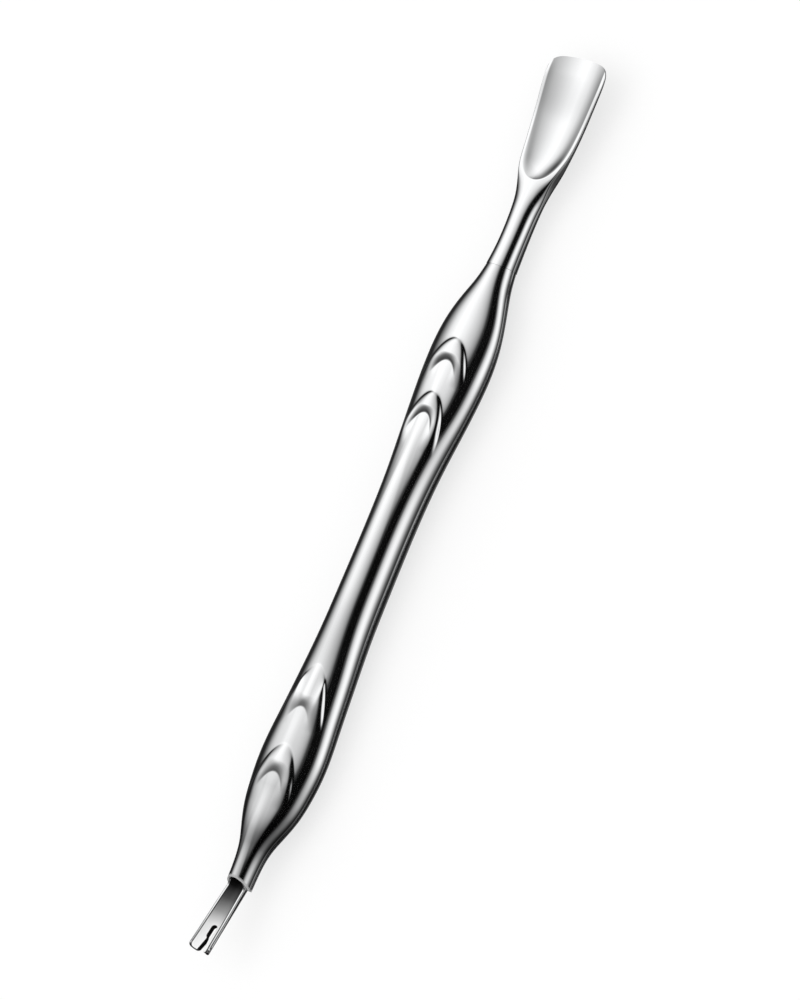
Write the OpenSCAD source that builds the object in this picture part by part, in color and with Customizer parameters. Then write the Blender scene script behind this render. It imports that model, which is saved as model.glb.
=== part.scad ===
// Double-ended cuticle pusher. A hollow handle of two pressed shells carries a dished pusher
// spoon at its +X end and an open trimmer trough, slit at its tip, at its -X end.
// It lies on its back: +X runs along the handle to the spoon, +Z points out of the front.
// The origin is below the middle of the overall length, on the plane the back rests on.

/* [Overall] */
// Length from the trimmer's tip to the spoon's tip
tool_length = 130; // [124:1:136]
// Width of the handle at its two swellings
bulge_width = 10.1; // [9.7:0.1:10.5]
// Height of the handle, front to back, at its two swellings
bulge_height = 7.16; // [6.8:0.04:7.6]
// Share by which the front of the swelling at the trimmer's end is flatter than its back
lower_flatter = 0.16; // [0:0.01:0.2]
// The same for the waist between the swellings
waist_flatter = 0.09; // [0:0.01:0.12]
// The same for the swelling at the spoon's end
upper_flatter = 0.14; // [0:0.01:0.18]
// Depth of the flat land that polishing leaves on the back of each swelling
land_depth = 0.08; // [0.07:0.01:0.12]

/* [Shells] */
// Thickness of the pressed shells
shell_wall = 0.7; // [0.6:0.05:0.9]
// Thickness the shells are swaged down to at their two mouths
mouth_wall = 0.3; // [0.26:0.01:0.3]
// How far the front of the mouth at the trimmer's end is cut back on its slant
mouth_slant = 1; // [0.6:0.1:1.2]
// Width of the seam between the shells
seam_gap = 0.3; // [0.2:0.02:0.4]
// Depth of the hairline groove above each weld bead
seam_groove = 0.12; // [0.05:0.01:0.2]

/* [Scales] */
// Height of the upper scales' raised lips above the handle
lip_height = 0.4; // [0.2:0.02:0.44]
// Depth of the scoop behind a lip, below the handle's plain surface
scoop_depth = 0.07; // [0.04:0.01:0.2]
// Distance from the upper scales' outer edge to their inner edge, at the middle
lip_length = 3.2; // [2.6:0.1:3.6]

/* [Spoon] */
// Width of the spoon at its widest
spoon_width = 9.6; // [9:0.1:10]
// Depth of the dish below its rim
dish_depth = 0.79; // [0.6:0.01:0.9]
// How far the spoon's back bulges below its side edges
blade_sag = 0.72; // [0.5:0.02:0.8]
// Width of the rounded rim beside the dish
rim_width = 0.45; // [0.3:0.05:0.6]
// Radius of the spoon's tang inside the handle
spoon_tang_r = 1.3; // [1.2:0.05:1.35]

/* [Trimmer] */
// Outer radius of the trimmer's trough at its root
trim_r_root = 1.42; // [1.36:0.02:1.42]
// Outer radius of the trimmer's trough at its tip
trim_r_tip = 1.92; // [1.7:0.02:2]
// Radius of the trimmer's tang inside the handle
trim_tang_r = 1.3; // [1.2:0.02:1.3]
// Wall of the trough at its sides
trim_wall = 0.4; // [0.35:0.05:0.5]
// How much thicker its floor is
trim_floor = 0.4; // [0.2:0.05:0.5]
// Angle by which the trough leans towards the front
trim_lean = 19.4; // [17:0.2:20]
// Width of the slit at the very tip
slit_tip = 0.95; // [0.7:0.05:1.1]
// Width of the slit where it meets the hole
slit_root = 0.4; // [0.3:0.05:0.5]
// Width of the hole at the slit's root
hole_w = 0.85; // [0.7:0.05:1]

/* [Hidden] */

steel = "lightsteelblue";
braze = "gainsboro";
eps = 0.01;

tip_x = tool_length / 2;
// The handle's two mouths, as shares of the half length
mouth_lo = -0.848 * tip_x;
mouth_hi = 0.531 * tip_x;
handle_len = mouth_hi - mouth_lo;
// How far the middle line drops at the two swellings, so that the tool rests on them
swell_drop = 0.05;
spoon_len = tip_x - mouth_hi;
// Height of the handle's middle line above the plane it rests on
axis_z = bulge_height / 2 + swell_drop - land_depth;

// Along the handle: place 0 to 1, share of the bulge width, share of its height, rise of the middle
HANDLE = [[0, 0.358, 0.536, 0.25], [0.0345, 0.381, 0.559, 0.25], [0.0623, 0.459, 0.612, 0.22],
          [0.0911, 0.651, 0.737, 0.17], [0.1219, 0.841, 0.86, 0.08], [0.1517, 0.937, 0.955, 0.01],
          [0.2024, 1.004, 1, -swell_drop], [0.2689, 0.918, 1, -swell_drop], [0.3355, 0.81, 0.992, -0.05],
          [0.406, 0.71, 0.992, -0.01], [0.4815, 0.672, 0.992, 0.03], [0.5928, 0.664, 0.992, 0.08],
          [0.6484, 0.701, 0.992, 0.08], [0.6931, 0.769, 0.994, 0.06], [0.7378, 0.86, 1, 0],
          [0.7825, 0.942, 1, -swell_drop], [0.8381, 0.992, 1, -swell_drop], [0.8828, 0.955, 0.9, 0.08],
          [0.9166, 0.842, 0.79, 0.15], [0.9454, 0.688, 0.7, 0.02], [0.9752, 0.52, 0.61, -0.25],
          [1, 0.432, 0.56, -0.42]];

// Along the spoon: place 0 to 1, share of the spoon width, half thickness, rise of the middle
SPOON = [[0, 0.4545, 2.005, -0.42], [0.08, 0.42, 1.89, -0.54], [0.18, 0.408, 1.79, -0.55],
         [0.28, 0.433, 1.71, -0.45], [0.345, 0.485, 1.52, -0.32], [0.405, 0.56, 1.25, -0.1],
         [0.465, 0.672, 0.86, 0.08], [0.543, 0.785, 0.46, 0.14], [0.631, 0.857, 0.33, 0.22],
         [0.719, 0.908, 0.28, 0.42], [0.807, 0.952, 0.25, 0.7], [0.895, 0.99, 0.225, 0.97],
         [0.95, 1, 0.2, 1.09], [1, 0.995, 0.13, 1.15]];

// Each scale: apex in mm from the middle of a 130 mm tool, shares of the lip's height and length,
// how bluntly its edges curve back, then the lengths over which its front and its sides rise and
// its lip falls, the angle at which its sides get steep, and where behind the apex it fades out
SCALES = [[23.3, 1, 1, 9.4, 0.4, 0.34, 1, 24, 3, 6.8], [15.45, 1, 0.94, 9.4, 0.4, 0.34, 1, 24, 4, 8.5],
          [-23.9, 0.85, 1.875, 10.4, 3.2, 0.32, 1.5, 25, 5, 9],
          [-35.4, 0.75, 1.19, 10.4, 1, 0.5, 1.4, 22, 4.5, 8.5]];
// Width across the front that belongs to one radian of angle round the handle
radian_width = 4.6;

function smooth(lo, hi, x) = let (t = min(1, max(0, (x - lo) / (hi - lo)))) t * t * (3 - 2 * t);
function mix(a, b, t) = a + (b - a) * t;

// Smooth curve through column c of a table whose first column rises
function slope(tab, i, c) = let (lo = max(0, i - 1), hi = min(len(tab) - 1, i + 1))
    (tab[hi][c] - tab[lo][c]) / (tab[hi][0] - tab[lo][0]);
function curve(tab, f, c) = let (
        i = min(len(tab) - 2, max([for (k = [0 : len(tab) - 1]) tab[k][0] <= f ? k : 0])),
        h = tab[i + 1][0] - tab[i][0],
        t = (f - tab[i][0]) / h,
        m0 = slope(tab, i, c) * h,
        m1 = slope(tab, i + 1, c) * h)
    (2 * t ^ 3 - 3 * t ^ 2 + 1) * tab[i][c] + (t ^ 3 - 2 * t ^ 2 + t) * m0
    + (3 * t ^ 2 - 2 * t ^ 3) * tab[i + 1][c] + (t ^ 3 - t ^ 2) * m1;

// ---------- handle ----------

function place(x) = min(1, max(0, (x - mouth_lo) / handle_len));
// Heights of the trimmer's tang and of the spoon's tang
trim_z = axis_z + 0.25;
spoon_z = axis_z - 0.42;
function half_w(x) = curve(HANDLE, place(x), 1) * bulge_width / 2;
function half_h(x) = curve(HANDLE, place(x), 2) * bulge_height / 2;
function front_h(x) = half_h(x) * (1 - flatter(x));
function mid_z(x) = axis_z + curve(HANDLE, place(x), 3);
// Share by which the front is flatter than the back at x, fading to 0 at the mouths
function flatter(x) = let (
        below = x - mouth_lo,
        above = mouth_hi - x,
        rest = mix(lower_flatter, waist_flatter, smooth(28, 42, below)))
    mix(upper_flatter, rest, smooth(20, 27, above)) * smooth(6, 14, below) * smooth(0, 9, above);
function wall_at(x) = mix(mouth_wall, shell_wall, smooth(0, 6, x - mouth_lo) * smooth(0, 6, mouth_hi - x));

// d where it is positive and 0 where it is negative, rounded over width
function soft_ramp(d, width) = (d + sqrt(d * d + width * width)) / 2;

// Height of one scale at station x and at angle psi (degrees) from the front.
// outer and inner are the distances behind the lip's outer and inner edges.
function scale_rise(s, x, psi) = let (
        t = abs(psi) * PI / 180,
        apex = s[0] * tip_x / 65,
        outer = (apex - s[3] * t * t - x) / sqrt(1 + (2 * s[3] * t / radian_width) ^ 2),
        inner = (apex - s[2] * lip_length - 13 * t * t - x) / sqrt(1 + (26 * t / radian_width) ^ 2),
        climb_over = mix(s[4], s[5], smooth(s[7] - 16, s[7], abs(psi))),
        climb = 1 - exp(-soft_ramp(outer, 0.1) / climb_over),
        fall = (1 - smooth(12, 36, abs(psi))) * min(1, max(0, (inner + s[6]) / s[6])) ^ 2,
        side = 1 - smooth(44, 62, abs(psi)),
        tail = 1 - smooth(s[8], s[9], apex - x),
        refill = 1 - smooth(0.3, 6.5, inner))
    side * (s[1] * lip_height * climb * (1 - fall) * tail - scoop_depth * fall * refill);
function relief(x, psi) = let (up = [for (s = SCALES) scale_rise(s, x, psi)]) up[0] + up[1] + up[2] + up[3];

// A point of a shell of half height h, inset by gap from its outside
function skin(x, psi, gap, h) = let (up = gap > 0 || abs(psi) > 90 ? 0 : relief(x, psi))
    [x + slant(x, psi), -(half_w(x) - gap + up) * sin(psi),
     max(0, mid_z(x) + (h - gap + up) * cos(psi))];
// How far the slanted mouth shifts a point of the front towards the spoon
function slant(x, psi) = mouth_slant * max(0, cos(psi)) * (1 - smooth(0, 5, x - mouth_lo));
// Angle from the front at which the skin crosses height z
function psi_at(x, z, gap, h) = acos((z - mid_z(x)) / (h - gap));

// One C-shaped ring of a shell: its outer arc, then its inner arc back again
function shell_ring(x, n, front) = let (
        z = axis_z + (front ? seam_gap / 2 : -seam_gap / 2),
        w = wall_at(x),
        h = front ? front_h(x) : half_h(x),
        po = psi_at(x, z, 0, h),
        pi = psi_at(x, z, w, h))
    concat([for (j = [0 : n]) skin(x, front ? mix(-po, po, j / n) : mix(po, 360 - po, j / n), 0, h)],
           [for (j = [n : -1 : 0]) skin(x, front ? mix(-pi, pi, j / n) : mix(pi, 360 - pi, j / n), w, h)]);

// Stations along the handle: coarse steps, with fine ones where the scales are
function in_scales(f) = (f > 0.15 && f < 0.335) || (f > 0.68 && f < 0.895);
function stations(f, fine, coarse) = f >= 1 - fine / 2 ? [1]
    : concat([f], stations(f + (in_scales(f) ? fine : coarse), fine, coarse));

// Closed solid through a list of rings whose points pair up across the ring (k with last - k)
module loft(rings) {
    m = len(rings[0]);
    last = len(rings) - 1;
    half = m / 2;
    sides = [for (i = [0 : last - 1], k = [0 : m - 1]) let (a = i * m + k, b = i * m + (k + 1) % m)
             each [[a, b + m, b], [a, a + m, b + m]]];
    lid = [for (k = [0 : half - 2]) let (a = k, b = k + 1, c = m - 2 - k, d = m - 1 - k)
           each [[a, c, d], [a, b, c]]];
    far = [for (t = lid) [t[0] + last * m, t[2] + last * m, t[1] + last * m]];
    polyhedron(points = [for (r = rings) each r], faces = concat(sides, lid, far), convexity = 6);
}

module handle_front_shell() {
    arc_steps = 26;
    color(steel)
        loft([for (f = stations(0, 0.0065, 0.028)) shell_ring(mix(mouth_lo, mouth_hi, f), arc_steps, true)]);
}

module handle_back_shell() {
    arc_steps = 18;
    color(steel)
        loft([for (f = stations(0, 0.024, 0.028)) shell_ring(mix(mouth_lo, mouth_hi, f), arc_steps, false)]);
}

// ---------- seam welds ----------

// Ring of a weld bead on the side given by sgn: it fills the seam up to the groove
function bead_ring(x, sgn) = let (
        lo = axis_z - seam_gap / 2,
        hi = axis_z + seam_gap / 2,
        out = half_w(x) - seam_groove - 0.02,
        in = half_w(x) - wall_at(x))
    sgn > 0 ? [[x, in, lo], [x, out, lo], [x, out, hi], [x, in, hi]]
            : [[x, -out, lo], [x, -in, lo], [x, -in, hi], [x, -out, hi]];

module seam_weld(sgn) {
    color(braze)
        loft([for (f = stations(0, 0.028, 0.028)) bead_ring(mix(mouth_lo, mouth_hi, f), sgn)]);
}

module seam_weld_left() {
    seam_weld(1);
}

module seam_weld_right() {
    seam_weld(-1);
}

// ---------- pusher spoon ----------

// The spoon's tip edge bows out in the middle and has round corners
function bow(v) = 0.8 * v ^ 2 + 1.3 * abs(v) ^ 9;
// Depth of the dish at x and y, inside a rim, with a round end towards the handle
function dish(x, y, w, f) = let (
        inner = w - rim_width,
        past_end = x - (mouth_hi + 0.4128 * spoon_len) - 0.2 * y ^ 2 - 0.008 * y ^ 4,
        from_end = max(0, past_end) / sqrt(1 + (0.4 * y + 0.032 * y ^ 3) ^ 2))
    dish_depth * mix(0.9, 1, smooth(0.5, 0.9, f)) * max(0, 1 - (y / inner) ^ 2) * (1 - exp(-from_end / 0.6));

// Ring of the spoon at place f: front from left to right, then the back from right to left
function spoon_ring(f, n) = let (
        w = curve(SPOON, f, 1) * spoon_width / 2,
        b = curve(SPOON, f, 2),
        mid = axis_z + curve(SPOON, f, 3),
        blade = smooth(0.3, 0.52, f),
        sag = blade_sag * blade * mix(1, 0.75, smooth(0.8, 1, f)))
    concat(
        [for (j = [0 : n]) let (v = across(j, n), x = blade_x(f, v))
         [x, w * v, mid + thick(v, w, b, blade) - blade * dish(x, w * v, w, f)]],
        [for (j = [n : -1 : 0]) let (v = across(j, n), x = blade_x(f, v))
         [x, w * v, mid - thick(v, w, b, blade) - sag * (1 - v ^ 2)]]);
// Place across a ring, from 1 on the left to -1 on the right
function across(j, n) = sin(90 - 180 * j / n);
function blade_x(f, v) = mouth_hi + f * (spoon_len - bow(v) * f ^ 6);
// Half thickness at v, from -1 to 1 across: an oval neck turns into a blade with rounded edges
function thick(v, w, b, blade) = let (
        edge = min(1, max(0, 1 - w * (1 - abs(v)) / rim_width)),
        neck = b * sqrt(max(0, 1 - v ^ 2)) + 0.12 * abs(v),
        flat = b * (0.15 + 0.85 * sqrt(max(0, 1 - edge ^ 2))))
    mix(neck, flat, blade);

// Round tang ring at x with radius r
function tang_ring(x, r, n) =
    concat([for (j = [0 : n]) let (v = across(j, n))
            [x, r * v, spoon_z + r * sqrt(1 - v ^ 2) + 0.05 * abs(v)]],
           [for (j = [n : -1 : 0]) let (v = across(j, n))
            [x, r * v, spoon_z - r * sqrt(1 - v ^ 2) - 0.05 * abs(v)]]);

module pusher_spoon() {
    arc_steps = 24;
    tang_len = 6;
    joint_gap = 0.02;
    blade_steps = 40;
    color(steel)
        loft(concat(
            [for (t = [[tang_len, 1.1], [tang_len - 0.4, spoon_tang_r], [0, spoon_tang_r]])
             tang_ring(mouth_hi + joint_gap - t[0], t[1], arc_steps)],
            [for (i = [0 : blade_steps]) let (ring = spoon_ring(i / blade_steps, arc_steps))
             i > 0 ? ring : [for (p = ring) [p[0] + joint_gap, p[1], p[2]]]]));
}

// ---------- braze rings ----------

// Ring-shaped solid between two outlines, given as lists of [outer, inner] point rings
module sleeve(outer, inner) {
    n = len(outer[0]);
    last = len(outer) - 1;
    count = n * (last + 1);
    skin_out = [for (i = [0 : last - 1], k = [0 : n - 1]) let (a = i * n + k, b = i * n + (k + 1) % n)
                each [[a, b + n, b], [a, a + n, b + n]]];
    skin_in = [for (t = skin_out) [t[0] + count, t[2] + count, t[1] + count]];
    start = [for (k = [0 : n - 1]) let (a = k, b = (k + 1) % n)
             each [[a, b + count, a + count], [a, b, b + count]]];
    end = [for (t = start) [t[0] + last * n, t[2] + last * n, t[1] + last * n]];
    polyhedron(points = [for (r = concat(outer, inner)) each r],
               faces = concat(skin_out, skin_in, start, end), convexity = 4);
}

function shell_bore(x, n, gap) = [for (k = [0 : n - 1]) let (psi = 360 * k / n)
    skin(x, psi, wall_at(x) + gap, cos(psi) > 0 ? front_h(x) : half_h(x))];
function round_ring(x, z, r, n) =
    [for (k = [0 : n - 1]) let (p = 360 * k / n) [x, -r * sin(p), z + r * cos(p)]];

// Braze ring in the handle between stations x0 and x1, round a tang of radius r at height z
module braze_ring(x0, x1, r, z) {
    n = 28;
    steps = 3;
    slack = 0.04;
    xs = [for (i = [0 : steps]) mix(x0, x1, i / steps)];
    color(braze)
        sleeve([for (x = xs) shell_bore(x, n, slack)],
               [for (x = xs) round_ring(x, z, (r + slack) / cos(180 / n), n)]);
}

module pusher_braze() {
    braze_ring(mouth_hi - 4.6, mouth_hi - 0.1, spoon_tang_r, spoon_z);
}

module trimmer_braze() {
    braze_ring(mouth_lo + 2.6, mouth_lo + 5.3, trim_tang_r, trim_z);
}

// ---------- trimmer ----------

module trimmer_fork() {
    $fn = 64;
    elbow_x = mouth_lo + 0.82;
    tang_len = 5;
    // The elbow's ball stands a hair proud of the tube
    proud = 0.02;
    reach = (tip_x + elbow_x - trim_r_tip * sin(trim_lean)) / cos(trim_lean);
    color(steel)
        translate([elbow_x, 0, trim_z])
            difference() {
                union() {
                    rotate([0, 90, 0])
                        cylinder(r = trim_tang_r, h = tang_len);
                    sphere(r = trim_r_root + proud);
                    rotate([0, trim_lean - 90, 0])
                        cylinder(r1 = trim_r_root, r2 = trim_r_tip, h = reach);
                }
                rotate([0, trim_lean - 90, 0])
                    trough_cut(reach);
            }
}

// What is cut from the trimmer's tube, in a frame with z along the tube and x to its front
module trough_cut(reach) {
    arch = 1.1;
    arch_z = 0.2;
    level_root = 0.3;
    level_tip = -0.6;
    hole_far = 4;
    hole_near = 1.95;
    bore_from = 0.62;
    over = 1;
    flare = (trim_r_tip - trim_r_root) / reach;
    // The bore, which lies off centre so that the floor is the thickest part of the wall
    translate([trim_floor, 0, bore_from])
        cylinder(r1 = trim_r_root - trim_wall + flare * bore_from,
                 r2 = trim_r_tip - trim_wall + flare * over, h = reach + over - bore_from);
    // The narrow end of the bore, behind the arch
    translate([0.75 * trim_floor, 0, -0.9])
        cylinder(r = 0.9, h = 1.6);
    // The open front, which starts in a round arch at the root
    rotate([-90, 0, 0])
        linear_extrude(height = 4 * trim_r_tip, center = true)
            polygon(concat(
                [[2 * trim_r_tip, -arch_z]],
                [for (i = [0 : 8]) let (u = arch_z + arch * (1 - cos(90 * i / 8)))
                 [rim_level(u, reach, level_root, level_tip) + 2.2 * arch * (1 - sin(90 * i / 8)), -u]],
                [for (i = [1 : 8]) let (u = mix(arch_z + arch, reach - 0.4, i / 8))
                 [rim_level(u, reach, level_root, level_tip), -u]],
                [[level_tip - 0.25, -(reach - 0.06)], [level_tip - 0.25, -(reach + over)],
                 [2 * trim_r_tip, -(reach + over)]]));
    // The slit, which opens towards the tip, and the hole at its root
    rotate([0, -90, 0])
        linear_extrude(height = 2 * trim_r_tip)
            union() {
                polygon([[reach - hole_near - 0.3, slit_root / 2], [reach + 1, slit_tip / 2 + 0.15],
                         [reach + 1, -slit_tip / 2 - 0.15], [reach - hole_near - 0.3, -slit_root / 2]]);
                for (d = [hole_far - hole_w / 2, hole_near + hole_w / 2])
                    translate([reach - d, 0])
                        circle(d = hole_w);
                translate([reach - hole_far + hole_w / 2, -hole_w / 2])
                    square([hole_far - hole_near - hole_w, hole_w]);
            }
}

// Height of the trough's rims above the tube's middle line at distance u from its root
function rim_level(u, reach, at_root, at_tip) = mix(at_root, at_tip, smooth(-0.2, 1.1, u / reach));

handle_front_shell();
handle_back_shell();
seam_weld_left();
seam_weld_right();
pusher_spoon();
pusher_braze();
trimmer_fork();
trimmer_braze();
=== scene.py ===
"""Looks of the double-ended cuticle pusher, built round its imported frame.

The tool lies on its back: +X runs from the trimmer to the spoon and +Z points out of its front.
Each fine mesh takes its place and its main sizes from the CAD node that it stands for.
"""

import math

import bmesh
import bpy
import numpy as np
from mathutils import Matrix, Vector


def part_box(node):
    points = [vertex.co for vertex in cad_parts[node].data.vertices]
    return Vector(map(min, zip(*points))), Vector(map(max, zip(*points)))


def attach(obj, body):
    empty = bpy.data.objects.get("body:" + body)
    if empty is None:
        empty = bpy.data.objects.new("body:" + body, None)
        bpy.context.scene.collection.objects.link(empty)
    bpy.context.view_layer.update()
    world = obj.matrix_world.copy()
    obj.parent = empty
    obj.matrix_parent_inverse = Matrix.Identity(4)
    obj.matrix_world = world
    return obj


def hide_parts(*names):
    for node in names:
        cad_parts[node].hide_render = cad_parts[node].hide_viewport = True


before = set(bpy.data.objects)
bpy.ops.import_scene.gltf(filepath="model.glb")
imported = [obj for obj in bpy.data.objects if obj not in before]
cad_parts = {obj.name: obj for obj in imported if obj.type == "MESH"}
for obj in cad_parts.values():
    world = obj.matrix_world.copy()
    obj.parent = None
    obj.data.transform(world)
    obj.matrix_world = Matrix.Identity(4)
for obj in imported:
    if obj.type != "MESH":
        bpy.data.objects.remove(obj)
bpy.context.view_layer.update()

MM = 0.001

# ---------------------------------------------------------------- sizes, from the frame (mm)

def box_mm(node):
    return [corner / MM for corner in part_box(node)]


front_lo = box_mm("handle_front_shell")[0]
back_lo, back_hi = box_mm("handle_back_shell")
TIP_LO = box_mm("trimmer_fork")[0].x
TIP_HI = box_mm("pusher_spoon")[1].x
MOUTH_LO, MOUTH_HI = back_lo.x, back_hi.x
HANDLE_LEN = MOUTH_HI - MOUTH_LO
SPOON_LEN = TIP_HI - MOUTH_HI
SEAM_GAP = front_lo.z - back_hi.z
AXIS_Z = (front_lo.z + back_hi.z) / 2
SIZE = (TIP_HI - TIP_LO) / 130          # against the 130 mm tool that the sizes below belong to

# The handle: width and height at its swellings, how far they drop so that the tool rests on them,
# the groove above each weld, the slant of the trimmer's mouth, and how much flatter the front is
BULGE_W = 10.1 * SIZE
BULGE_H = 7.16 * SIZE
SWELL_DROP = 0.05
SEAM_GROOVE = 0.12
MOUTH_WALL, SHELL_WALL = 0.3, 0.7
MOUTH_SLANT = 1.0
FLATTER_LOWER, FLATTER_WAIST, FLATTER_UPPER = 0.16, 0.09, 0.14
# The spoon: its width, the depth of its dish, the bulge of its back and the width of its rim
SPOON_W = 9.6 * SIZE
DISH_DEPTH = 0.79
DISH_SAG = 0.72
RIM_WIDTH = 0.45
# Where the dish's round end is, as a share of the spoon's length, and how that end curves back
DISH_START = 0.4128
DISH_BEND, DISH_BEND_4 = 0.2, 0.008
# How far the middle of the tip stands out, and how far its corners are rounded off
TIP_BOW, TIP_CORNER = 0.8, 1.3
# The spoon's tang, and the hairline between the spoon's neck and the handle's mouth
SPOON_TANG_R = 1.3
SPOON_TANG_Z = AXIS_Z - 0.42
SPOON_TANG_LEN = 6
SPOON_TANG_CHAMFER = 0.4
JOINT_GAP = 0.02
# The trimmer: its lean, its radius at root and tip, its wall, where its root is, and its length
TRIM_LEAN = math.radians(19.4)
TRIM_R = (1.42, 1.92)
TRIM_WALL = 0.4
TRIM_ROOT = (MOUTH_LO + 0.82, 0.0, AXIS_Z + 0.25)
TRIM_LEN = (TRIM_ROOT[0] - TIP_LO - TRIM_R[1] * math.sin(TRIM_LEAN)) / math.cos(TRIM_LEAN)

# Along the handle: place 0 to 1, share of the bulge width, share of its height, rise of the middle
HANDLE = np.array([
    (0, 0.358, 0.536, 0.25), (0.0345, 0.381, 0.559, 0.25), (0.0623, 0.459, 0.612, 0.22),
    (0.0911, 0.651, 0.737, 0.17), (0.1219, 0.841, 0.86, 0.08), (0.1517, 0.937, 0.955, 0.01),
    (0.2024, 1.004, 1, -SWELL_DROP), (0.2689, 0.918, 1, -SWELL_DROP), (0.3355, 0.81, 0.992, -0.05),
    (0.406, 0.71, 0.992, -0.01), (0.4815, 0.672, 0.992, 0.03), (0.5928, 0.664, 0.992, 0.08),
    (0.6484, 0.701, 0.992, 0.08), (0.6931, 0.769, 0.994, 0.06), (0.7378, 0.86, 1, 0),
    (0.7825, 0.942, 1, -SWELL_DROP), (0.8381, 0.992, 1, -SWELL_DROP), (0.8828, 0.955, 0.9, 0.08),
    (0.9166, 0.842, 0.79, 0.15), (0.9454, 0.688, 0.7, 0.02), (0.9752, 0.52, 0.61, -0.25),
    (1, 0.432, 0.56, -0.42)])
# Along the spoon: place 0 to 1, share of the spoon width, half thickness, rise of the middle
SPOON = np.array([
    (0, 0.4545, 2.005, -0.42), (0.08, 0.42, 1.89, -0.54), (0.18, 0.408, 1.79, -0.55),
    (0.28, 0.433, 1.71, -0.45), (0.345, 0.485, 1.52, -0.32), (0.405, 0.56, 1.25, -0.1),
    (0.465, 0.672, 0.86, 0.08), (0.543, 0.785, 0.46, 0.14), (0.631, 0.857, 0.33, 0.22),
    (0.719, 0.908, 0.28, 0.42), (0.807, 0.952, 0.25, 0.7), (0.895, 0.99, 0.225, 0.97),
    (0.95, 1.0, 0.2, 1.09), (1, 0.995, 0.13, 1.15)])
# Each scale: its apex from the middle, the height and length of its lip, how bluntly its outer
# edge curves back, then how far its front, its sides and its inner end take to rise or fall, the
# angle at which its sides get steep, and the distances behind the apex between which it fades
SCALES = (
    (23.3, 0.4, 3.2, 9.4, 0.4, 0.34, 1.0, 24, 3, 6.8),
    (15.45, 0.4, 3.0, 9.4, 0.4, 0.34, 1.0, 24, 4, 8.5),
    (-23.9, 0.34, 6.0, 10.4, 3.2, 0.32, 1.5, 25, 5, 9),
    (-35.4, 0.3, 3.8, 10.4, 1.0, 0.5, 1.4, 22, 4.5, 8.5))
SCOOP_DEPTH = 0.07
SCOOP_BEND = 13                          # how bluntly a lip's inner edge curves back
RADIAN_WIDTH = 4.6 * SIZE                # width across the front for each radian of angle round it


# ---------------------------------------------------------------- maths

def smooth(lo, hi, x):
    t = np.clip((x - lo) / (hi - lo), 0, 1)
    return t * t * (3 - 2 * t)


def mix(a, b, t):
    return a + (b - a) * t


def natural_spline(xs, ys, x):
    """Cubic spline with even curvature through the points, so that reflections flow along it."""
    n = len(xs)
    h = np.diff(xs)
    a = np.eye(n)
    rhs = np.zeros(n)
    for i in range(1, n - 1):
        a[i, i - 1], a[i, i], a[i, i + 1] = h[i - 1], 2 * (h[i - 1] + h[i]), h[i]
        rhs[i] = 6 * ((ys[i + 1] - ys[i]) / h[i] - (ys[i] - ys[i - 1]) / h[i - 1])
    m = np.linalg.solve(a, rhs)
    i = np.clip(np.searchsorted(xs, x) - 1, 0, n - 2)
    left, right = x - xs[i], xs[i + 1] - x
    return ((m[i] * right ** 3 + m[i + 1] * left ** 3) / (6 * h[i])
            + (ys[i] / h[i] - m[i] * h[i] / 6) * right + (ys[i + 1] / h[i] - m[i + 1] * h[i] / 6) * left)


# ---------------------------------------------------------------- meshes

def mesh_object(name, verts, faces, smooth_angle=40):
    """A new object from vertices in mm, shaded smooth except across sharp edges."""
    mesh = bpy.data.meshes.new(name)
    mesh.from_pydata((np.asarray(verts) * MM).tolist(), [], faces)
    obj = bpy.data.objects.new(name, mesh)
    bpy.context.scene.collection.objects.link(obj)
    bm = bmesh.new()
    bm.from_mesh(mesh)
    bmesh.ops.recalc_face_normals(bm, faces=bm.faces)
    bm.to_mesh(mesh)
    bm.free()
    mesh.shade_smooth()
    mesh.set_sharp_from_angle(angle=math.radians(smooth_angle))
    return obj


def loft(name, rings, paired=False, smooth_angle=40):
    """Closed solid through rings of equal point counts.

    Each end is one face, or a strip of them where the ring's points pair up (k with last - k).
    """
    rings = np.asarray(rings)
    count, m, _ = rings.shape
    faces = []
    for i in range(count - 1):
        for k in range(m):
            a, b = i * m + k, i * m + (k + 1) % m
            faces.append((a, b, b + m, a + m))
    for start in (0, (count - 1) * m):
        if paired:
            strip = [(k, k + 1, m - 2 - k, m - 1 - k) for k in range(m // 2 - 1)]
            faces += [tuple(start + k for k in quad) for quad in strip]
        else:
            faces.append(tuple(start + k for k in range(m)))
    return mesh_object(name, rings.reshape(-1, 3), faces, smooth_angle)


def mark(obj, name, values):
    """Store a share from 0 to 1 at every vertex, for the materials."""
    layer = obj.data.attributes.new(name, "FLOAT", "POINT")
    layer.data.foreach_set("value", np.asarray(values, dtype=np.float32))


# ---------------------------------------------------------------- handle

def handle_shape(x):
    """Half width, half height and middle height of the handle at stations x."""
    f = np.clip((x - MOUTH_LO) / HANDLE_LEN, 0, 1)
    half_w = natural_spline(HANDLE[:, 0], HANDLE[:, 1], f) * BULGE_W / 2
    half_h = natural_spline(HANDLE[:, 0], HANDLE[:, 2], f) * BULGE_H / 2
    mid = AXIS_Z + natural_spline(HANDLE[:, 0], HANDLE[:, 3], f)
    return half_w, half_h, mid


def flatter(x):
    """Share by which the front of the handle is flatter than its back, fading to 0 at the mouths."""
    below, above = x - MOUTH_LO, MOUTH_HI - x
    share = mix(FLATTER_LOWER, FLATTER_WAIST, smooth(28, 42, below))
    share = mix(FLATTER_UPPER, share, smooth(20, 27, above))
    return share * smooth(6, 14, below) * smooth(0, 9, above)


def wall_at(x):
    """Thickness of the shells, which are swaged thin at both mouths."""
    return mix(MOUTH_WALL, SHELL_WALL, smooth(0, 6, x - MOUTH_LO) * smooth(0, 6, MOUTH_HI - x))


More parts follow.
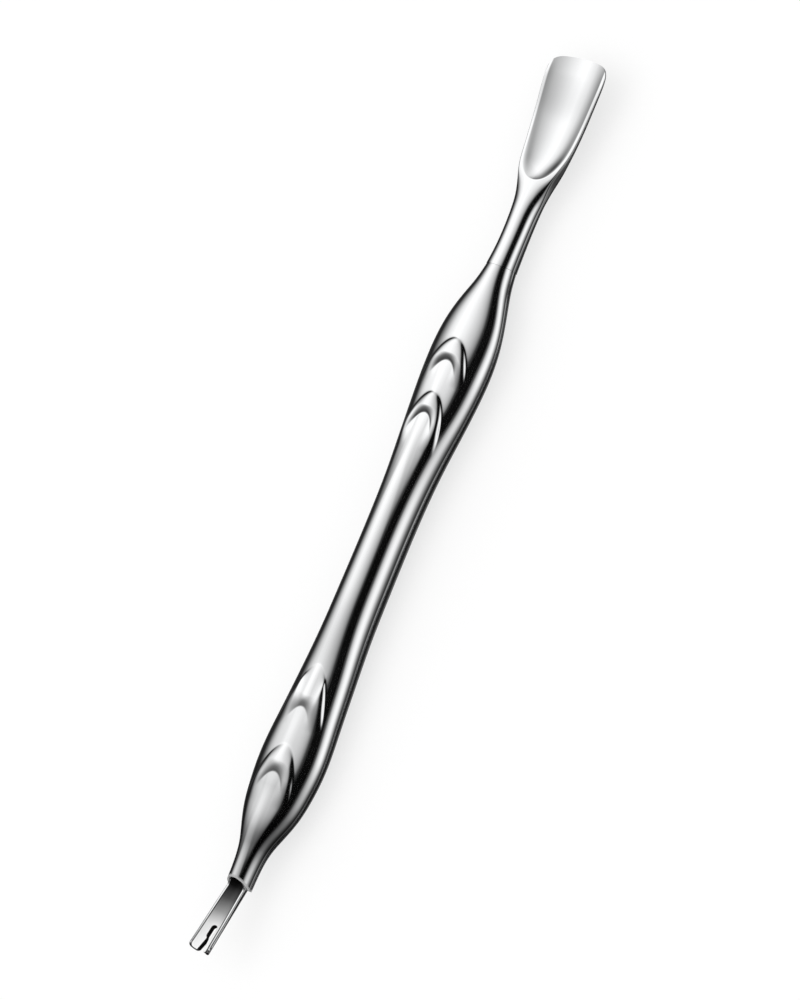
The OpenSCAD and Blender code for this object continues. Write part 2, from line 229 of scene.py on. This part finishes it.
def soft_ramp(d, width):
    """d where it is positive and 0 where it is negative, rounded over width."""
    return 0.5 * (d + np.sqrt(d * d + width * width))


def relief(x, psi):
    """Rise of the scales over the plain handle at stations x and angles psi (radians) from the front."""
    rise = np.zeros(np.broadcast(x, psi).shape)
    t = np.abs(psi)
    degrees = np.degrees(t)
    middle = 1 - smooth(12, 36, degrees)    # the scoops keep to the middle of the front
    side = 1 - smooth(44, 62, degrees)      # and the scales end well before the seams
    for at, height, length, point, front, flank, run, steep, fade_from, fade_to in SCALES:
        apex = at * SIZE
        # Distances behind the lip's outer and inner edges, measured square to those edges
        outer = (apex - point * t ** 2 - x) / np.sqrt(1 + (2 * point * t / RADIAN_WIDTH) ** 2)
        inner = apex - length - SCOOP_BEND * t ** 2 - x
        inner = inner / np.sqrt(1 + (2 * SCOOP_BEND * t / RADIAN_WIDTH) ** 2)
        climb_over = mix(front, flank, smooth(steep - 16, steep, degrees))
        climb = 1 - np.exp(-soft_ramp(outer, 0.1) / climb_over)
        fall = middle * np.clip((inner + run) / run, 0, 1) ** 2
        tail = 1 - smooth(fade_from, fade_to, apex - x)
        refill = 1 - smooth(0.3, 6.5, inner)
        rise += side * (height * climb * (1 - fall) * tail - SCOOP_DEPTH * fall * refill)
    return rise


def stations(fine, coarse):
    """Stations along the handle, close together from 1 mm before to 13 mm behind each apex."""
    xs = [MOUTH_LO, MOUTH_LO + 0.4]
    while xs[-1] < MOUTH_HI:
        near = min(max(0, row[0] * SIZE - 13 - xs[-1], xs[-1] - row[0] * SIZE - 1) for row in SCALES)
        xs.append(xs[-1] + min(coarse, fine + 0.15 * near))
    xs[-1] = MOUTH_HI
    return np.array(xs)


def shell(name, front, xs, outer_steps, inner_steps):
    """One half of the handle, as a loft of C-shaped rings that close along the seam."""
    half_w, half_h, mid = (v[:, None] for v in handle_shape(xs))
    if front:
        half_h = half_h * (1 - flatter(xs)[:, None])
    wall = wall_at(xs)[:, None]
    edge = AXIS_Z + (SEAM_GAP / 2 if front else -SEAM_GAP / 2)
    start = 0 if front else math.pi

    def arc(inset, steps, back_again):
        reach = np.arccos(np.clip((edge - mid) / (half_h - inset), -1, 1))
        reach = reach if front else math.pi - reach
        t = np.linspace(-1, 1, steps + 1)[None, :]
        if front and not back_again:
            t = t * (1.12 - 0.12 * t ** 2)          # points lie closer together towards the seams
        psi = start + reach * (t[:, ::-1] if back_again else t)
        up = relief(xs[:, None], psi) if front and not back_again else 0
        y = -(half_w - inset + up) * np.sin(psi)
        z = np.maximum(0, mid + (half_h - inset + up) * np.cos(psi))
        # The front of the mouth at the trimmer's end is cut back on a slant
        slant = MOUTH_SLANT * np.clip(np.cos(psi), 0, 1) * (1 - smooth(0, 5, xs[:, None] - MOUTH_LO))
        return np.stack([xs[:, None] + slant, y, z], axis=2)

    rings = np.concatenate([arc(0, outer_steps, False), arc(wall, inner_steps, True)], axis=1)
    obj = loft(name, rings)
    mark(obj, "ground", np.repeat(np.arange(len(xs)) == 0, rings.shape[1]))
    return obj


def weld(name, side, xs):
    """The bead that fills the seam on one side, up to a hairline groove."""
    half_w = handle_shape(xs)[0]
    wall = wall_at(xs)
    lo, hi = AXIS_Z - SEAM_GAP / 2, AXIS_Z + SEAM_GAP / 2
    dished = 0.04                           # the bead's face is dished a little, as a ground weld is
    outline = [(half_w - wall, lo), (half_w - SEAM_GROOVE, lo), (half_w - SEAM_GROOVE - dished, AXIS_Z),
               (half_w - SEAM_GROOVE, hi), (half_w - wall, hi)]
    rings = np.stack([np.stack([xs, side * y, np.full_like(xs, z)], axis=1) for y, z in outline], axis=1)
    return loft(name, rings)


# ---------------------------------------------------------------- spoon

def spoon(name, stations_count, steps):
    """Tang, oval neck and dished blade as one loft; each ring is its front, then its back."""
    f = np.linspace(0, 1, stations_count)[:, None]

    def column(c):
        return natural_spline(SPOON[:, 0], SPOON[:, c], f)

    w, b, mid = column(1) * SPOON_W / 2, column(2), AXIS_Z + column(3)
    blade = smooth(0.3, 0.52, f)            # 0 in the oval neck, 1 in the flat blade
    sag = DISH_SAG * blade * mix(1, 0.75, smooth(0.8, 1, f))

    def across(sign):
        """Places -1 to 1 across, the points' x and y, and the half thickness there."""
        v = np.sin(np.linspace(-1, 1, steps + 1) * math.pi / 2)[None, :] * sign
        bow = TIP_BOW * v ** 2 + TIP_CORNER * np.abs(v) ** 9
        x = MOUTH_HI + f * (SPOON_LEN - bow * f ** 6)
        edge = np.clip(1 - w * (1 - np.abs(v)) / RIM_WIDTH, 0, 1)
        rounded = 0.4 + 0.6 * (1 - edge ** 5) ** 0.2
        neck = b * np.sqrt(np.clip(1 - v ** 2, 0, 1)) + 0.12 * np.abs(v)
        return v, x, w * v, mix(neck, b * rounded, blade)

    _, x, y, thick = across(1)
    inner = w - RIM_WIDTH
    # Distance from the dish's round end at the handle, measured square to it
    from_end = x - (MOUTH_HI + DISH_START * SPOON_LEN) - DISH_BEND * y ** 2 - DISH_BEND_4 * y ** 4
    from_end = from_end / np.sqrt(1 + (2 * DISH_BEND * y + 4 * DISH_BEND_4 * y ** 3) ** 2)
    depth = DISH_DEPTH * mix(0.9, 1, smooth(0.5, 0.9, f)) * (1 - np.exp(-np.maximum(0, from_end) / 0.6))
    dish = depth * np.clip(1 - (y / inner) ** 2, 0, 1)
    top = np.stack([x, y, mid + thick - blade * dish], axis=2)
    v, x, y, thick = across(-1)
    # The blade's side faces lean in a little towards the back
    bottom = np.stack([x, y * mix(1, 0.9925, blade), mid - thick - sag * (1 - v ** 2)], axis=2)
    rings = np.concatenate([top, bottom], axis=1)

    # The tang is a round bar with a chamfered end
    full_from = SPOON_TANG_CHAMFER - SPOON_TANG_LEN
    tang = []
    for at, r in ((-SPOON_TANG_LEN, SPOON_TANG_R * 0.75), (full_from, SPOON_TANG_R), (0, SPOON_TANG_R)):
        ring = rings[0].copy()
        offset = ring[:, 1:] - (0, SPOON_TANG_Z)
        offset *= r / np.linalg.norm(offset, axis=1)[:, None]
        ring[:, 0] = MOUTH_HI + JOINT_GAP + at
        ring[:, 1:] = offset + (0, SPOON_TANG_Z)
        tang.append(ring)
    rings[0, :, 0] += JOINT_GAP
    return loft(name, np.concatenate([np.array(tang), rings]), paired=True)


# ---------------------------------------------------------------- trimmer

def trough(name, root, lean, length, r_root, r_tip, wall):
    """Open half tube that widens to its tip, with a hole near the tip and a slit from it to the tip.

    Its length runs back (-X) and up by lean; the front of its open side is +Z. It is made as two
    mirrored halves, which are one body up to the hole. Each half is a row of rings: the outside
    from the slit to the rim, round the rim, and back along the bore.
    """
    stub = 0.9                              # how far it goes on behind its root, inside the mouth
    arch, arch_at = 1.1, 0.2                # the open side starts in a round arch at the root
    level_root, level_tip = 0.3, -0.6       # height of the rims above the tube's middle line
    hole_far, hole_near = 4.0, 1.95         # the hole's two ends, from the tip
    hole_r = 0.85 / 2                       # radius of its round ends
    slit_root, slit_tip = 0.4, 0.95         # width of the slit at the hole and at the tip
    off = 0.4                               # the bore's axis lies this far towards the open side
    arch_rise = 2.2                         # how steeply the arch climbs, against its length
    rim_round = 0.22                        # how far the rim's edge is rounded, against the wall
    tip_round, tip_over = 0.32, 1.2         # how far the tip's corners curve back, and over what
    arc_steps, rim_steps = 40, 6

    def half_gap(u):
        """Half the width of the hole or of the slit at distance u from the trough's root."""
        left = length - u
        if left > hole_far:
            return 0
        if left > hole_near:
            end = min(left - hole_near, hole_far - left)
            hole = math.sqrt(max(0, hole_r ** 2 - max(0, hole_r - end) ** 2))
            return max(hole, slit_root / 2 if left < hole_near + hole_r else 0)
        return mix(slit_root, slit_tip, 1 - left / hole_near) / 2

    def bore(a, r):
        """Distance from the tube's middle to the bore's wall at angle a from the floor."""
        return math.sqrt((r - wall) ** 2 - (off * math.sin(a)) ** 2) - off * math.cos(a)

    def rim_angle(u, r):
        """Angle from the floor at which the rim stands."""
        into = np.clip((u - arch_at) / arch, 0, 1)
        level = mix(level_root, level_tip, smooth(-0.2, 1.1, u / length))
        level += arch_rise * arch * (1 - math.sqrt(1 - (1 - into) ** 2))
        nearly_closed = math.pi - 0.02
        return nearly_closed if level >= r else min(nearly_closed, math.acos(-level / r))

    def half_ring(u):
        """Angle, radius and share of the inside for each point of one half's ring."""
        r = mix(r_root, r_tip, max(0, u) / length)
        gap = half_gap(u)
        rim = rim_angle(u, r)
        start_out, start_in = math.asin(gap / r), math.asin(min(1, gap / bore(0, r)))
        edge = r - bore(rim, r)
        ring = [(mix(start_out, rim, k / arc_steps), r, 0) for k in range(arc_steps + 1)]
        # Round the rim the share climbs from 0 to 1, so the material paints a black line along the rim's
        # inner edge, as painted shade
        for k in range(1, rim_steps):
            a = math.pi * k / rim_steps
            ring.append((rim + edge * rim_round * math.sin(a) / r, r - edge / 2 * (1 - math.cos(a)),
                         (1 - math.cos(a)) / 2))
        for k in range(arc_steps, -1, -1):
            a = mix(start_in, rim, k / arc_steps)
            ring.append((a, bore(a, r), 1))
        if gap > 0:                         # the slot's cut faces get a share that the material paints black, as painted shade
            ring[0] = (*ring[0][:2], 0.8)
            ring[-1] = (*ring[-1][:2], 0.8)
        return ring, start_out, rim

    hole_start, hole_end = length - hole_far, length - hole_near
    quarter = np.linspace(0, math.pi / 2, 12)
    us = np.concatenate([
        np.linspace(-stub, 0, 6), np.linspace(0, arch + arch_at, 26)[1:],
        np.linspace(arch + arch_at, hole_start, 24)[1:],
        hole_start + (1 - np.cos(quarter)) * hole_r,
        np.linspace(hole_start + hole_r, hole_end - hole_r, 6)[1:],
        hole_end - hole_r + np.sin(quarter)[1:] * hole_r,
        np.linspace(hole_end, length, 20)[1:]])
    gaps = [half_gap(u) for u in us]
    verts, faces, inside = [], [], []
    m = 2 * (arc_steps + 1) + rim_steps - 1
    for side in (1, -1):
        base = len(verts)
        for u in us:
            ring, start_out, rim = half_ring(u)
            near_tip = smooth(length - tip_over, length, u)
            for a, r, share in ring:
                v = (a - start_out) / (rim - start_out)
                back = near_tip * (tip_round * abs(2 * v - 1) ** 5)
                verts.append((u - back, side * r * math.sin(a), -r * math.cos(a)))
                inside.append(share)
        for i in range(len(us) - 1):
            for k in range(m):
                if k == m - 1 and gaps[i] == 0 and gaps[i + 1] == 0:
                    continue                # the two halves are one body here
                a, b = base + i * m + k, base + i * m + (k + 1) % m
                faces.append((a, b, b + m, a + m))
        for start in (base, base + (len(us) - 1) * m):
            for k in range(arc_steps + rim_steps // 2):
                a, b = start + k, start + k + 1
                c, d = start + m - 1 - k, start + m - 2 - k
                faces.append((a, b, d, c) if d != b else (a, b, c))
    co = np.array(verts)
    c, s = math.cos(lean), math.sin(lean)
    out = np.stack([root[0] - co[:, 0] * c + co[:, 2] * s, root[1] + co[:, 1],
                    root[2] + co[:, 0] * s + co[:, 2] * c], axis=1)
    obj = mesh_object(name, out, faces)
    mark(obj, "inside", inside)
    bm = bmesh.new()
    bm.from_mesh(obj.data)
    bmesh.ops.remove_doubles(bm, verts=bm.verts, dist=1e-8)
    bmesh.ops.dissolve_degenerate(bm, edges=bm.edges, dist=1e-8)
    bmesh.ops.recalc_face_normals(bm, faces=bm.faces)
    bm.to_mesh(obj.data)
    bm.free()
    return obj


# ---------------------------------------------------------------- materials

def node_material(name):
    mat = bpy.data.materials.new(name)
    mat.use_nodes = True
    return mat, mat.node_tree.nodes, mat.node_tree.links


def add(nodes, kind, **inputs):
    """A new shader node of a kind, with its named inputs set (underscores stand for spaces)."""
    node = nodes.new("ShaderNode" + kind)
    for socket, value in inputs.items():
        node.inputs[socket.replace("_", " ")].default_value = value
    return node


def steel(name, tint, rough, rough_spread, bump):
    """Polished steel: faint buffing lines along the tool, and a roughness that drifts slightly."""
    mat, nodes, links = node_material(name)
    bsdf = nodes["Principled BSDF"]
    bsdf.inputs["Metallic"].default_value = 1
    coords = add(nodes, "TexCoord")
    stretch = add(nodes, "Mapping", Scale=(60, 2400, 2400))
    links.new(coords.outputs["Object"], stretch.inputs["Vector"])
    lines = add(nodes, "TexNoise", Scale=1, Detail=4)
    links.new(stretch.outputs["Vector"], lines.inputs["Vector"])
    drift = add(nodes, "TexNoise", Scale=90, Detail=3)
    links.new(coords.outputs["Object"], drift.inputs["Vector"])
    both = add(nodes, "Math")
    both.operation = "MULTIPLY"
    links.new(lines.outputs["Fac"], both.inputs[0])
    links.new(drift.outputs["Fac"], both.inputs[1])
    spread = add(nodes, "MapRange", From_Min=0.1, From_Max=0.45, To_Min=rough, To_Max=rough + rough_spread)
    links.new(both.outputs[0], spread.inputs["Value"])
    links.new(spread.outputs["Result"], bsdf.inputs["Roughness"])
    shade = nodes.new("ShaderNodeMix")
    shade.data_type = "RGBA"
    shade.inputs["A"].default_value = (*[c * 0.97 for c in tint], 1)
    shade.inputs["B"].default_value = (*tint, 1)
    links.new(drift.outputs["Fac"], shade.inputs["Factor"])
    links.new(shade.outputs["Result"], bsdf.inputs["Base Color"])
    dent = add(nodes, "Bump", Strength=bump, Distance=0.00002)
    links.new(lines.outputs["Fac"], dent.inputs["Height"])
    links.new(dent.outputs["Normal"], bsdf.inputs["Normal"])
    return mat


def grey_ramp(nodes, stops):
    """Ramp through (place from 0 to 1, brightness) stops."""
    ramp = nodes.new("ShaderNodeValToRGB")
    elements = ramp.color_ramp.elements
    while len(elements) > 1:
        elements.remove(elements[-1])
    for i, (at, level) in enumerate(stops):
        stop = elements[0] if i == 0 else elements.new(at)
        stop.position = at
        stop.color = (level, level, level, 1)
    return ramp


def satin(mat, name, lo, hi, tones_and_painted_shade):
    """Turn the steel satin where the stored share rises from lo to hi.

    tones holds (x in mm, brightness) pairs along the tool, painted into the base colour, which for the
    trough is painted shade; a painted black line, standing for shade, lines the satin part's edge.
    """
    nodes, links = mat.node_tree.nodes, mat.node_tree.links
    bsdf = nodes["Principled BSDF"]

    def map_range(value, a, b, to_a, to_b):
        n = nodes.new("ShaderNodeMapRange")
        for socket, v in (("From Min", a), ("From Max", b), ("To Min", to_a), ("To Max", to_b)):
            n.inputs[socket].default_value = v
        links.new(value, n.inputs["Value"])
        return n.outputs["Result"]

    share = nodes.new("ShaderNodeAttribute")
    share.attribute_name = name
    part = map_range(share.outputs["Fac"], lo, hi, 0, 1)
    coords = nodes.new("ShaderNodeTexCoord")
    split = nodes.new("ShaderNodeSeparateXYZ")
    links.new(coords.outputs["Object"], split.inputs[0])
    first, last = tones_and_painted_shade[0][0], tones_and_painted_shade[-1][0]
    ramp = grey_ramp(nodes, [((x - first) / (last - first), level) for x, level in tones_and_painted_shade])
    links.new(map_range(split.outputs["X"], first * MM, last * MM, 0, 1), ramp.inputs["Fac"])
    painted_tone = nodes.new("ShaderNodeVectorMath")
    painted_tone.operation = "SCALE"
    links.new(ramp.outputs["Color"], painted_tone.inputs[0])
    # Where the satin part has a painted black edge, which stands for shade, its tone only starts at a
    # share of 0.9
    light = map_range(share.outputs["Fac"], 0.9, 0.999, 0, 1) if hi < 0.9 else part
    links.new(light, painted_tone.inputs["Scale"])
    tint = nodes.new("ShaderNodeMix")
    tint.data_type = "RGBA"
    links.new(part, tint.inputs["Factor"])
    links.new(bsdf.inputs["Base Color"].links[0].from_socket, tint.inputs["A"])
    links.new(painted_tone.outputs[0], tint.inputs["B"])
    links.new(tint.outputs["Result"], bsdf.inputs["Base Color"])
    links.new(map_range(part, 0, 1, 1, 0), bsdf.inputs["Metallic"])
    rough = nodes.new("ShaderNodeMath")
    rough.operation = "MULTIPLY_ADD"
    links.new(part, rough.inputs[0])
    rough.inputs[1].default_value = 0.5
    links.new(bsdf.inputs["Roughness"].links[0].from_socket, rough.inputs[2])
    links.new(rough.outputs[0], bsdf.inputs["Roughness"])
    return mat


STAINLESS = (0.93, 0.935, 0.94)
# The cut edge of the handle's mouth is ground; the trough is satin, and its colour carries painted shade
# that runs from light near the tip to black at its root
CUT_EDGE = ((MOUTH_LO - 1, 0.42), (MOUTH_HI, 0.42))
TROUGH_PAINTED_SHADE = ((TIP_LO, 0.95), (TIP_LO + 4, 0.8), (TIP_LO + 6, 0.33), (TIP_LO + 8, 0.08), (MOUTH_LO, 0.003))
POLISHED = satin(steel("polished_steel", STAINLESS, 0.03, 0.04, 0.03), "ground", 0, 0.9, CUT_EDGE)
TRIMMER = satin(steel("trimmer_steel", STAINLESS, 0.03, 0.04, 0.03), "inside", 0.6, 0.7, TROUGH_PAINTED_SHADE)
GROUND = steel("weld_steel", (0.55, 0.555, 0.56), 0.25, 0.15, 0.3)
BRAZE = steel("braze_filler", (0.8, 0.78, 0.74), 0.25, 0.15, 0.3)


def finish_piece(obj, node, material):
    """Give a piece its material, and let it stand for the CAD node."""
    obj.data.materials.clear()
    obj.data.materials.append(material)
    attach(obj, "root")
    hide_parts(node)


# ---------------------------------------------------------------- pieces

fine_xs = stations(0.13, 0.5)
plain_xs = stations(0.5, 0.5)
front = shell("Handle_front_shell", True, fine_xs, 180, 24)
finish_piece(front, "handle_front_shell", POLISHED)
back = shell("Handle_back_shell", False, plain_xs, 96, 24)
finish_piece(back, "handle_back_shell", POLISHED)
for side_name, side in (("left", 1), ("right", -1)):
    bead = weld("Seam_weld_" + side_name, side, plain_xs)
    finish_piece(bead, "seam_weld_" + side_name, GROUND)
finish_piece(spoon("Pusher_spoon", 260, 96), "pusher_spoon", POLISHED)
fork = trough("Trimmer_fork", TRIM_ROOT, TRIM_LEAN, TRIM_LEN, *TRIM_R, TRIM_WALL)
finish_piece(fork, "trimmer_fork", TRIMMER)

# The braze rings are hidden inside the handle, so the CAD nodes themselves are shown
for node in ("pusher_braze", "trimmer_braze"):
    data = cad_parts[node].data
    data.materials.clear()
    data.materials.append(BRAZE)

# ---------------------------------------------------------------- stage

TURN = math.radians(35)       # the camera stands this far round from straight above the front
LEAN = math.radians(22.8)     # the tool leans this far from upright in the view
TILT = math.radians(-5)       # the camera stands this far off square to the tool's length
VIEW_MM = 133.3               # the picture's long side, at the tool
AIM_MM = (0.5, -0.29)         # where the camera aims, along and across the tool from its middle
along = Vector((1, 0, 0))
to_camera = Vector((0, -math.sin(TURN), math.cos(TURN)))
to_right = Vector((0, -math.cos(TURN), -math.sin(TURN)))


def pale_floor():
    """Plain floor, in metres, a hair below the tool and left out of its reflections."""
    half, drop = 3.0, 0.00002
    mesh = bpy.data.meshes.new("Floor")
    corners = [(-half, -half, 0), (half, -half, 0), (half, half, 0), (-half, half, 0)]
    mesh.from_pydata(corners, [], [(0, 1, 2, 3)])
    floor = bpy.data.objects.new("Floor", mesh)
    bpy.context.scene.collection.objects.link(floor)
    floor.location.z = -drop
    mat, nodes, _ = node_material("pale_floor")
    surface = nodes["Principled BSDF"].inputs
    surface["Base Color"].default_value = (0.3, 0.3, 0.3, 1)
    surface["Roughness"].default_value = 0.8
    surface["Emission Color"].default_value = (1, 1, 1, 1)
    surface["Emission Strength"].default_value = 0.68
    mesh.materials.append(mat)
    floor.visible_glossy = False


# The studio that the metal mirrors, as brightness against the angle round the tool's length:
# the camera's dark gap in the middle, a white panel on each side, dark flags beyond them
STUDIO = (
    (-180, 0.1), (-150, 0.04), (-136, 0.01), (-124, 0.03), (-116, 0.14), (-107, 0.34), (-93, 0.78),
    (-80, 1.0), (-68, 0.96), (-57, 0.82), (-47, 0.66), (-37, 0.5), (-28, 0.3), (-20, 0.05),
    (-13, 0.003), (12, 0.003), (20, 0.1), (28, 0.5), (37, 0.8), (47, 0.95), (57, 0.85), (68, 0.48),
    (80, 0.15), (92, 0.02), (99, 0.1), (106, 0.42), (111, 0.1), (118, 0.01), (138, 0.02),
    (150, 0.12), (180, 0.1))
# The same, against the angle towards the spoon's end: it gets darker towards the trimmer's end
STUDIO_ENDS = (
    (-90, 0.55), (-72, 0.4), (-60, 0.04), (-50, 0.06), (-35, 0.1), (-24, 0.16), (-15, 0.3),
    (-8, 0.5), (-2, 0.7), (2, 0.85), (5, 1), (40, 1), (60, 0.6), (75, 0.1), (80, 0.1), (90, 0.5))


def studio_world():
    """Soft white light all round, and for mirror reflections the studio's panels and flags."""
    world = bpy.data.worlds.new("Studio")
    bpy.context.scene.world = world
    world.use_nodes = True
    nodes, links = world.node_tree.nodes, world.node_tree.links
    nodes.clear()

    def math_node(op, a, b=None, c=None):
        n = nodes.new("ShaderNodeMath")
        n.operation = op
        for slot, v in zip(n.inputs, (a, b, c)):
            if v is None:
                continue
            if isinstance(v, (int, float)):
                slot.default_value = v
            else:
                links.new(v, slot)
        return n.outputs[0]

    def dot(vec):
        n = nodes.new("ShaderNodeVectorMath")
        n.operation = "DOT_PRODUCT"
        links.new(coords.outputs["Generated"], n.inputs[0])
        n.inputs[1].default_value = vec
        return n.outputs["Value"]

    def brightness(angle, stops):
        """Brightness at an angle from -180 to 180 degrees, from stops in degrees."""
        turn = math_node("MULTIPLY_ADD", angle, 1 / (2 * math.pi), 0.5)
        ramp = grey_ramp(nodes, [(0.5 + degrees / 360, level) for degrees, level in stops])
        links.new(turn, ramp.inputs["Fac"])
        return ramp.outputs["Color"]

    coords = nodes.new("ShaderNodeTexCoord")
    round_angle = math_node("ARCTAN2", dot(to_right), dot(to_camera))
    end_angle = math_node("ARCSINE", dot(along))
    both = nodes.new("ShaderNodeVectorMath")
    both.operation = "MULTIPLY"
    links.new(brightness(round_angle, STUDIO), both.inputs[0])
    links.new(brightness(end_angle, STUDIO_ENDS), both.inputs[1])
    mirror_light = nodes.new("ShaderNodeBackground")
    links.new(both.outputs[0], mirror_light.inputs["Color"])
    mirror_light.inputs["Strength"].default_value = 1.12
    soft = nodes.new("ShaderNodeBackground")
    soft.inputs["Color"].default_value = (1, 1, 1, 1)
    soft.inputs["Strength"].default_value = 1.0
    path = nodes.new("ShaderNodeLightPath")
    pick = nodes.new("ShaderNodeMixShader")
    links.new(path.outputs["Is Glossy Ray"], pick.inputs["Fac"])
    links.new(soft.outputs[0], pick.inputs[1])
    links.new(mirror_light.outputs[0], pick.inputs[2])
    out = nodes.new("ShaderNodeOutputWorld")
    links.new(pick.outputs[0], out.inputs["Surface"])


def studio_camera():
    """Camera at the tool's long side, far off so that the tool is seen nearly without perspective."""
    data = bpy.data.cameras.new("Camera")
    data.lens = 150
    data.sensor_width = 36
    cam = bpy.data.objects.new("Camera", data)
    bpy.context.scene.collection.objects.link(cam)
    bpy.context.scene.camera = cam
    back = (Matrix.Rotation(-TILT, 3, to_right) @ to_camera).normalized()
    x_dir = (along - along.dot(back) * back).normalized()
    side_dir = x_dir.cross(back)
    if side_dir.dot(to_right) < 0:
        side_dir = -side_dir
    right = x_dir * math.sin(LEAN) + side_dir * math.cos(LEAN)
    up = x_dir * math.cos(LEAN) - side_dir * math.sin(LEAN)
    distance = VIEW_MM * MM * data.lens / data.sensor_width
    middle = Vector((0, 0, AXIS_Z * MM))
    aim = middle + along * AIM_MM[0] * MM + to_right * AIM_MM[1] * MM
    turned = Matrix((right, up, back)).transposed().to_4x4()
    cam.matrix_world = Matrix.Translation(aim + back * distance) @ turned


def softbox():
    """Large soft light above, on the left and towards the trimmer's end."""
    light = bpy.data.lights.new("Softbox", "AREA")
    light.shape = "RECTANGLE"
    light.size, light.size_y = 0.9, 0.6
    light.energy = 1.2
    obj = bpy.data.objects.new("Softbox", light)
    obj.location = (-0.2, 0.35, 0.9)
    obj.rotation_euler = (math.radians(-22), math.radians(-12), 0)
    obj.visible_glossy = False
    bpy.context.scene.collection.objects.link(obj)


pale_floor()
studio_world()
studio_camera()
softbox()
bpy.context.scene.view_settings.view_transform = "Standard"
